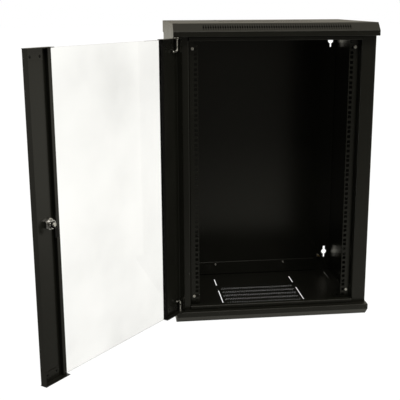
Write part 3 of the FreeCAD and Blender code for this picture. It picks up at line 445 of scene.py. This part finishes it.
@dataclass(frozen=True)
class ClearGlass:
    """Clear toughened sheet glass, very slightly warm, with a few soft patches where its colour is darker, so less
    light comes through.
    """

    name: str
    colour: Colour
    dimmed_patch_colour: Colour
    roughness: float
    ior: float
    patch: float = 320 * MM
    shift: float = 21.2
    contrast: float = 3.0

    def material(self) -> bpy.types.Material:
        """Build the finish's nodes.

        Returns:
            The finish as a material.
        """
        surface = Surface(self.name)
        # The patches' mask darkens the glass's colour, so less light comes through there.
        dim_patch = surface.effect(Effect.PATCHES, Patch_Size=self.patch, Shift=self.shift)
        mask = math_node(surface.tree, "POWER", dim_patch.outputs["Mask"], self.contrast)
        surface.link(mixed(surface.tree, mask, self.colour, self.dimmed_patch_colour), "Base Color")
        surface.set(Roughness=self.roughness, IOR=self.ior, Transmission_Weight=1.0)
        return surface.material


@dataclass(frozen=True)
class SoftRubber:
    """Matt black extruded rubber."""

    name: str
    colour: Colour
    bloom_colour: Colour
    roughness: float
    specular: float
    spread: float = 0.1
    patch: float = 20 * MM
    grain_cell: float = 0.5 * MM
    grain_depth: float = 0.02 * MM

    def material(self) -> bpy.types.Material:
        """Build the finish's nodes.

        Returns:
            The finish as a material.
        """
        surface = Surface(self.name)
        bloom = surface.effect(
            Effect.PATCHES, Roughness=self.roughness, Spread=self.spread, Patch_Size=self.patch,
        )
        surface.link(bloom.outputs["Roughness"], "Roughness")
        surface.link(mixed(surface.tree, bloom.outputs["Mask"], self.colour, self.bloom_colour), "Base Color")
        grain = surface.effect(Effect.GRAIN, Cell_Size=self.grain_cell, Depth=self.grain_depth)
        surface.bump(grain.outputs["Height"])
        surface.set(Specular_IOR_Level=self.specular)
        return surface.material


FINISHES: dict[Slot, Finish] = {
    Slot.POWDER_COAT: PowderCoat(
        "semi_gloss_black",
        colour=(0.0095, 0.0100, 0.0080),
        thin_colour=(0.0130, 0.0134, 0.0105),
        dust_colour=(0.08, 0.075, 0.067),
        roughness=0.25,
        spread=0.08,
        specular=0.5,
    ),
    Slot.BLACK_ZINC: PlatedMetal(
        "black_zinc_plate",
        colour=(0.020, 0.020, 0.021),
        dull_colour=(0.035, 0.035, 0.036),
        roughness=0.38,
        spread=0.2,
    ),
    Slot.BRIGHT_ZINC: PlatedMetal(
        "bright_zinc_plate",
        colour=(0.90, 0.90, 0.88),
        dull_colour=(0.74, 0.74, 0.73),
        roughness=0.26,
        spread=0.2,
    ),
    Slot.SPRING_STEEL: PlatedMetal(
        "drawn_spring_wire",
        colour=(0.42, 0.42, 0.43),
        dull_colour=(0.28, 0.28, 0.29),
        roughness=0.35,
        spread=0.2,
    ),
    Slot.BRASS: PlatedMetal(
        "turned_brass",
        colour=(0.74, 0.57, 0.27),
        dull_colour=(0.55, 0.41, 0.19),
        roughness=0.28,
        spread=0.2,
    ),
    Slot.CHROME: PlatedMetal(
        "polished_chrome",
        colour=(0.80, 0.80, 0.81),
        dull_colour=(0.68, 0.68, 0.69),
        roughness=0.14,
        spread=0.1,
    ),
    Slot.GLASS: ClearGlass(
        "clear_sheet_glass",
        colour=(1.0, 0.998, 0.965),
        # Darker colour of the patches, where the glass lets less light through.
        dimmed_patch_colour=(0.49, 0.49, 0.475),
        roughness=0.0,
        ior=1.3,
    ),
    Slot.RUBBER: SoftRubber(
        "soft_black_rubber",
        colour=(0.004, 0.004, 0.004),
        bloom_colour=(0.008, 0.008, 0.008),
        roughness=0.75,
        specular=0.15,
    ),
}
MATERIALS: dict[Slot, bpy.types.Material] = {slot: finish.material() for slot, finish in FINISHES.items()}


def dress(piece: Piece, slot: Slot) -> None:
    """Give a piece one finish all over.

    Args:
        piece: a mesh object.
        slot: whose finish it gets.
    """
    piece.data.materials.clear()
    piece.data.materials.append(MATERIALS[slot])


def only(piece: Piece) -> None:
    """Deselect everything, and then select one piece and make it active.

    Args:
        piece: the one that the next operators act on.
    """
    bpy.ops.object.select_all(action="DESELECT")
    piece.select_set(True)
    bpy.context.view_layer.objects.active = piece


def pick_faces(piece: Piece, direction: Vector) -> None:
    """Select, in edit mode, the faces that point one way.

    Args:
        piece: the object in edit mode.
        direction: the way that the faces point.
    """
    bpy.ops.mesh.select_all(action="DESELECT")
    bpy.ops.object.mode_set(mode="OBJECT")
    for face in piece.data.polygons:
        face.select = face.normal.dot(direction) > SAME_WAY
    bpy.ops.object.mode_set(mode="EDIT")


def turned_blank(radius: float, height: float, chamfer_in: float, chamfer_down: float) -> Piece:
    """A round blank about Z whose two rims are chamfered, as a turned nut's are.

    Args:
        radius: of the blank.
        height: of the blank, standing half each way.
        chamfer_in: how far a chamfer reaches inwards.
        chamfer_down: how far a chamfer reaches along the axis.

    Returns:
        The blank.
    """
    bpy.ops.object.select_all(action="DESELECT")
    bpy.ops.mesh.primitive_cylinder_add(vertices=ROUND_SIDES, radius=radius, depth=height - 2 * chamfer_down)
    blank = bpy.context.active_object
    ratio = (radius - chamfer_in) / radius
    bpy.ops.object.mode_set(mode="EDIT")
    bpy.ops.mesh.select_mode(type="FACE")
    for way in (1, -1):
        pick_faces(blank, Vector((0, 0, way)))
        bpy.ops.mesh.extrude_region_move(TRANSFORM_OT_translate={"value": (0, 0, way * chamfer_down)})
        bpy.ops.transform.resize(value=(ratio, ratio, 1))
    bpy.ops.object.mode_set(mode="OBJECT")
    return blank


def combine(piece: Piece, tool: Piece, shaping: Shaping) -> None:
    """Shape a piece with a tool, which is then removed.

    Args:
        piece: the mesh that is kept.
        tool: the mesh that shapes it.
        shaping: how it does.
    """
    only(piece)
    modifier = piece.modifiers.new("shape", "BOOLEAN")
    modifier.operation = shaping.value
    modifier.object = tool
    modifier.solver = "EXACT"
    bpy.ops.object.modifier_apply(modifier=modifier.name)
    bpy.data.objects.remove(tool)


def soften(piece: Piece, width: float) -> None:
    """Round a piece's edges a little and shade what is round as smooth.

    Args:
        piece: the mesh.
        width: of the rounding.
    """
    only(piece)
    modifier = piece.modifiers.new("soft_edges", "BEVEL")
    modifier.width = width
    modifier.segments = EDGE_SEGMENTS
    modifier.limit_method = "ANGLE"
    modifier.angle_limit = SMOOTH_ANGLE
    bpy.ops.object.modifier_apply(modifier=modifier.name)
    bpy.ops.object.shade_smooth_by_angle(angle=SMOOTH_ANGLE)


def settle(piece: Piece, name: str, centre: Vector, axis: Vector) -> None:
    """Stand a piece that was made about Z at its place, and keep the place in its mesh.

    Args:
        piece: the mesh.
        name: the piece's name.
        centre: where its own origin goes.
        axis: where its own Z points.
    """
    piece.name = name
    piece.data.name = name
    only(piece)
    piece.matrix_world = Matrix.Translation(centre) @ axis.to_track_quat("Z", "Y").to_matrix().to_4x4()
    bpy.ops.object.transform_apply(location=True, rotation=True, scale=True)


@dataclass
class HexNut:
    """Turned hexagon nut with chamfered corners."""

    across: float
    bore: float
    height: float
    edge: float = 0.25 * MM
    chamfer: float = 0.6

    def build(self) -> Piece:
        """Model the nut about Z.

        Returns:
            The nut.
        """
        corner = self.across / math.sqrt(3)
        bpy.ops.object.select_all(action="DESELECT")
        bpy.ops.mesh.primitive_cylinder_add(vertices=HEXAGON_SIDES, radius=corner, depth=self.height)
        nut = bpy.context.active_object
        reach = corner - self.across / 2 + self.edge
        blank = turned_blank(corner, self.height, reach, reach * self.chamfer)
        combine(nut, blank, Shaping.KEEP_SHARED)
        bpy.ops.object.select_all(action="DESELECT")
        bpy.ops.mesh.primitive_cylinder_add(vertices=ROUND_SIDES, radius=self.bore / 2, depth=2 * self.height)
        combine(nut, bpy.context.active_object, Shaping.CUT_AWAY)
        soften(nut, self.edge)
        return nut


def wind(corners: int, size: float, radius: float, rise: float, turns: int, steps: int) -> Piece:
    """Wind a small outline about Z into a closed coil, which stands half each way.

    Args:
        corners: of the outline.
        size: from the outline's middle to a corner.
        radius: from the axis to the outline's middle.
        rise: from the coil's start to its end.
        turns: of the coil.
        steps: to a turn.

    Returns:
        The coil.
    """
    bpy.ops.object.select_all(action="DESELECT")
    bpy.ops.mesh.primitive_circle_add(
        vertices=corners,
        radius=size,
        fill_type="NOTHING",
        location=(radius, 0, -rise / 2),
        rotation=(math.pi / 2, 0, 0),
    )
    coil = bpy.context.active_object
    bpy.ops.object.transform_apply(location=True, rotation=True, scale=True)
    modifier = coil.modifiers.new("wind", "SCREW")
    modifier.axis = "Z"
    modifier.angle = 2 * math.pi * turns
    modifier.screw_offset = rise
    modifier.steps = steps * turns
    modifier.render_steps = modifier.steps
    bpy.ops.object.modifier_apply(modifier=modifier.name)
    bpy.ops.object.mode_set(mode="EDIT")
    bpy.ops.mesh.select_mode(type="VERT")
    bpy.ops.mesh.select_all(action="SELECT")
    bpy.ops.mesh.remove_doubles(threshold=WELD_DISTANCE)
    bpy.ops.mesh.select_non_manifold()
    bpy.ops.mesh.edge_face_add()
    bpy.ops.mesh.select_all(action="SELECT")
    bpy.ops.mesh.normals_make_consistent(inside=False)
    bpy.ops.object.mode_set(mode="OBJECT")
    return coil


@dataclass
class Thread:
    """Ridge of a screw thread, wound about Z."""

    radius: float
    pitch: float
    length: float
    steps: int = 32

    def build(self) -> Piece:
        """Model the ridge, from half its length below the origin to half above.

        Returns:
            The ridge.
        """
        turns = int(self.length / self.pitch) - 1
        return wind(RIDGE_CORNERS, self.pitch / 2, self.radius, turns * self.pitch, turns, self.steps)


@dataclass
class CoilSpring:
    """Compression spring of round wire, wound about Z."""

    wire: float
    radius: float
    length: float
    turns: int
    sides: int = 12
    steps: int = 32

    def build(self) -> Piece:
        """Model the spring, from half its length below the origin to half above.

        Returns:
            The spring.
        """
        rise = self.length - self.wire
        spring = wind(self.sides, self.wire / 2, self.radius, rise, self.turns, self.steps)
        only(spring)
        bpy.ops.object.shade_smooth_by_angle(angle=SMOOTH_ANGLE)
        return spring


@dataclass
class SubAssembly:
    """Solids that belong together and keep their shapes."""

    title: str
    nodes: tuple[str, ...]

    def build(self) -> list[Piece]:
        """Make the pieces that the solids lack.

        Returns:
            The new pieces.
        """
        return []

    def dress(self) -> None:
        """Give every solid the finish that its slot names."""
        for node in self.nodes:
            dress(NODES[node], Slot(SLOT_OF[node]))


@dataclass
class CabinetBody(SubAssembly):
    """Folded sheets of the cabinet, and what holds them together."""

    title: str = "body"
    nodes: tuple[str, ...] = (
        "bottom_tray", "top_cover", "right_side_panel", "left_side_panel", "side_panel_screws",
        "right_front_post", "left_front_post", "post_screws", "post_nuts", "lower_door_stop",
        "upper_door_stop", "rear_panel", "rear_panel_screws", "cable_entry_cover", "cable_cover_screws",
    )


@dataclass
class RackRails(SubAssembly):
    """Rails that carry the equipment, with their feet."""

    title: str = "rack rails"
    nodes: tuple[str, ...] = (
        "right_rack_rail", "left_rack_rail", "right_lower_rail_foot", "left_lower_rail_foot",
        "right_upper_rail_foot", "left_upper_rail_foot", "rail_screws", "rail_nuts", "rail_foot_screws",
    )


@dataclass
class DoorLeaf(SubAssembly):
    """Glass pane of the door, between its two stiles."""

    title: str = "door leaf"
    nodes: tuple[str, ...] = (
        "hinge_stile", "lock_stile", "hinge_stile_bottom_plate", "lock_stile_bottom_plate",
        "hinge_stile_top_plate", "lock_stile_top_plate", "hinge_glazing_channel", "lock_glazing_channel",
        "hinge_glass_gasket", "lock_glass_gasket", "door_rivets", "glass_pane",
    )


@dataclass
class HingePins(SubAssembly):
    """Sliding hinge pins of the door, each with a spring."""

    title: str = "hinge pins"
    nodes: tuple[str, ...] = (
        "lower_hinge_bush", "upper_hinge_bush", "lower_hinge_pin", "upper_hinge_pin", "lower_pin_collar",
        "upper_pin_collar", "lower_pin_spring", "upper_pin_spring", "lower_pin_guide", "upper_pin_guide",
    )
    wire: float = 0.8 * MM
    coil_radius: float = 3.8 * MM
    turns: int = 7

    def build(self) -> list[Piece]:
        """Make a coil in place of each plain one.

        Returns:
            The coils.
        """
        coils = []
        for end in ("lower", "upper"):
            node = f"{end}_pin_spring"
            slide = JOINTS[f"{end}_pin_slide"]
            inward = Vector(slide["axis"])
            low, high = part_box(node)
            centre = (low + high) / 2
            length = high.z - low.z
            coil = CoilSpring(self.wire, self.coil_radius, length, self.turns).build()
            settle(coil, f"{end}_pin_coil", centre, inward)
            dress(coil, Slot.SPRING_STEEL)
            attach(coil, "door")
            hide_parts(node)
            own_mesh(coil)
            coils.append(coil)
        return coils


@dataclass
class CamLock(SubAssembly):
    """Cam lock of the door, with a shaped nut and a threaded body."""

    title: str = "cam lock"
    nodes: tuple[str, ...] = ("lock_housing", "lock_nut", "lock_plug", "lock_cam", "cam_screw")
    nut_across: float = 27 * MM
    body: float = 22 * MM
    nut_height: float = 8 * MM
    thread_pitch: float = 1.0 * MM
    thread_length: float = 6.6 * MM

    def build(self) -> list[Piece]:
        """Make the nut in place of the plain one, and the thread behind it.

        Returns:
            The nut and the thread.
        """
        inward = -Vector(JOINTS["lock_turn"]["axis"])
        low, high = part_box("lock_nut")
        centre = (low + high) / 2
        nut = HexNut(self.nut_across, self.body, self.nut_height).build()
        settle(nut, "lock_hex_nut", centre, inward)
        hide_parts("lock_nut")
        thread = Thread(self.body / 2, self.thread_pitch, self.thread_length).build()
        behind = centre + inward * (self.nut_height + self.thread_length) / 2
        settle(thread, "lock_body_thread", behind, inward)
        for piece in (nut, thread):
            dress(piece, Slot.CHROME)
            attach(piece, "door")
        return [nut, thread]


@dataclass
class EarthPoint(SubAssembly):
    """Earth stud of the rear panel, with a shaped nut and a thread."""

    title: str = "earth point"
    nodes: tuple[str, ...] = ("earth_stud", "earth_nut")
    across: float = 10 * MM
    stud: float = 6 * MM
    nut_height: float = 5 * MM
    pitch: float = 1.0 * MM
    free_length: float = 8.6 * MM

    def build(self) -> list[Piece]:
        """Make the nut in place of the plain one, and the thread of the stud's free end.

        Returns:
            The nut and the thread.
        """
        forward = Vector((0, -1, 0))
        low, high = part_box("earth_nut")
        centre = (low + high) / 2
        nut = HexNut(self.across, self.stud, self.nut_height).build()
        settle(nut, "earth_hex_nut", centre, forward)
        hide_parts("earth_nut")
        dress(nut, Slot.BRIGHT_ZINC)
        thread = Thread(self.stud / 2, self.pitch, self.free_length).build()
        before = centre + forward * (self.nut_height + self.free_length) / 2
        settle(thread, "earth_stud_thread", before, forward)
        dress(thread, Slot.BRASS)
        for piece in (nut, thread):
            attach(piece, "cabinet")
        return [nut, thread]


@dataclass(frozen=True)
class Brightness:
    """Warm light that changes evenly across the studio and away from its middle. On the floor it is painted light,
    and a brightness that rises away from the middle paints a contact shadow around the cabinet.
    """

    middle: float
    slope: Triple
    rise: float
    least: float
    most: float
    tint: Colour = (1.0, 0.97, 0.84)
    through: Colour = (1.02, 1.02, 1.02)

    def socket(self, tree: Tree, coordinate: Coordinate) -> Socket:
        """Add nodes that give the light's colour.

        What the camera sees, straight or through the glass, is white all the same.

        Args:
            tree: the tree that gets the nodes.
            coordinate: what the brightness follows.

        Returns:
            The colour, as bright as the light.
        """
        place = tree.nodes.new("ShaderNodeTexCoord").outputs[coordinate.value]
        across = tree.nodes.new("ShaderNodeVectorMath")
        across.operation = "DOT_PRODUCT"
        across.inputs[1].default_value = self.slope
        tree.links.new(place, across.inputs[0])
        distance = tree.nodes.new("ShaderNodeVectorMath")
        distance.operation = "LENGTH"
        tree.links.new(place, distance.inputs[0])
        # On the floor, rise paints a contact shadow: the glow is darker near the middle and brighter further out.
        value = math_node(tree, "MULTIPLY_ADD", distance.outputs["Value"], self.rise, self.middle)
        value = math_node(tree, "ADD", across.outputs["Value"], value)
        value = math_node(tree, "MINIMUM", math_node(tree, "MAXIMUM", value, self.least), self.most)
        path = tree.nodes.new("ShaderNodeLightPath")
        straight = mixed(tree, path.outputs["Is Camera Ray"], mixed(tree, value, BLACK, self.tint), WHITE)
        return mixed(tree, path.outputs["Is Transmission Ray"], straight, self.through)


@dataclass
class Studio:
    """Pale floor that glows with painted light and a painted contact shadow, a room that darkens behind the
    camera, a softbox, and the photograph's own viewpoint.
    """

    eye: Triple
    pitch: float
    yaw: float
    roll: float
    lens: float
    shift_x: float
    shift_y: float
    room: Brightness
    floor_painted_light: Brightness
    floor_size: float = 60.0
    floor_colour: Colour = (0.05, 0.05, 0.05)
    floor_roughness: float = 0.9
    softbox_width: float = 2.4
    softbox_depth: float = 0.8
    softbox_power: float = 26.0
    softbox_colour: Colour = (1.0, 0.96, 0.86)
    softbox_place: Triple = (0.0, -1.9, 2.8)
    softbox_turn: float = math.radians(42)

    def camera(self) -> None:
        """Set the camera."""
        data = bpy.data.cameras.new("camera")
        data.lens = self.lens
        data.shift_x = self.shift_x
        data.shift_y = self.shift_y
        camera = bpy.data.objects.new("camera", data)
        bpy.context.scene.collection.objects.link(camera)
        forward = Vector((
            math.sin(self.yaw) * math.cos(self.pitch),
            math.cos(self.yaw) * math.cos(self.pitch),
            -math.sin(self.pitch),
        ))
        right = Vector((math.cos(self.yaw), -math.sin(self.yaw), 0))
        right.rotate(Matrix.Rotation(self.roll, 3, forward))
        up = right.cross(forward)
        turned = Matrix((right, up, -forward)).transposed().to_4x4()
        camera.matrix_world = Matrix.Translation(self.eye) @ turned
        bpy.context.scene.camera = camera

    def floor(self) -> None:
        """Lay the pale floor, whose glow is painted light, darker near the cabinet as a painted contact shadow."""
        bpy.ops.object.select_all(action="DESELECT")
        bpy.ops.mesh.primitive_plane_add(size=self.floor_size)
        floor = bpy.context.active_object
        floor.name = "studio_floor"
        surface = Surface("pale_floor")
        surface.set(Base_Color=rgba(self.floor_colour), Roughness=self.floor_roughness)
        surface.set(Specular_IOR_Level=0.0, Emission_Strength=1.0)
        surface.link(self.floor_painted_light.socket(surface.tree, Coordinate.PLACE), "Emission Color")
        floor.data.materials.append(surface.material)

    def light(self) -> None:
        """Hang the softbox and fill the room with even light."""
        world = bpy.data.worlds.new("studio")
        world.use_nodes = True
        background = world.node_tree.nodes["Background"]
        colour = self.room.socket(world.node_tree, Coordinate.DIRECTION)
        world.node_tree.links.new(colour, background.inputs["Color"])
        bpy.context.scene.world = world
        data = bpy.data.lights.new("softbox", "AREA")
        data.shape = "RECTANGLE"
        data.size = self.softbox_width
        data.size_y = self.softbox_depth
        data.energy = self.softbox_power
        data.color = self.softbox_colour
        softbox = bpy.data.objects.new("softbox", data)
        softbox.location = self.softbox_place
        softbox.rotation_euler.x = self.softbox_turn
        softbox.visible_camera = False
        bpy.context.scene.collection.objects.link(softbox)

    def build(self) -> None:
        """Set up the whole studio."""
        self.camera()
        self.floor()
        self.light()
        bpy.context.scene.view_settings.view_transform = "Standard"


STUDIO = Studio(
    eye=(-0.47747, -2.50192, 0.95803),
    pitch=0.2434,
    yaw=0.1172,
    roll=0.0041,
    lens=71.84,
    shift_x=-0.0151,
    shift_y=0.0018,
    room=Brightness(
        middle=0.25, slope=(0.15, 0.22, 0.37), rise=0.0, least=0.15, most=1.0, tint=(1.0, 0.93, 0.77),
    ),
    # The camera sees the floor white. In reflections its glow is painted light, brighter to the right and the
    # back, and rise darkens it near the cabinet as a painted contact shadow.
    floor_painted_light=Brightness(middle=0.32, slope=(0.10, 0.28, 0.0), rise=0.155, least=0.07, most=0.57),
)
ASSEMBLIES: tuple[SubAssembly, ...] = (
    CabinetBody(),
    EarthPoint(),
    RackRails(),
    DoorLeaf(),
    HingePins(),
    CamLock(),
)


def main() -> None:
    """Build and dress each sub-assembly in turn, and then the studio."""
    logging.basicConfig(level=logging.INFO, format="%(name)s: %(message)s")
    for assembly in ASSEMBLIES:
        assembly.dress()
        LOG.info("%s: dressed %d solids", assembly.title, len(assembly.nodes))
        for piece in assembly.build():
            LOG.info("%s: made %s with %d faces", assembly.title, piece.name, len(piece.data.polygons))
    STUDIO.build()


if __name__ == "__main__":
    main()
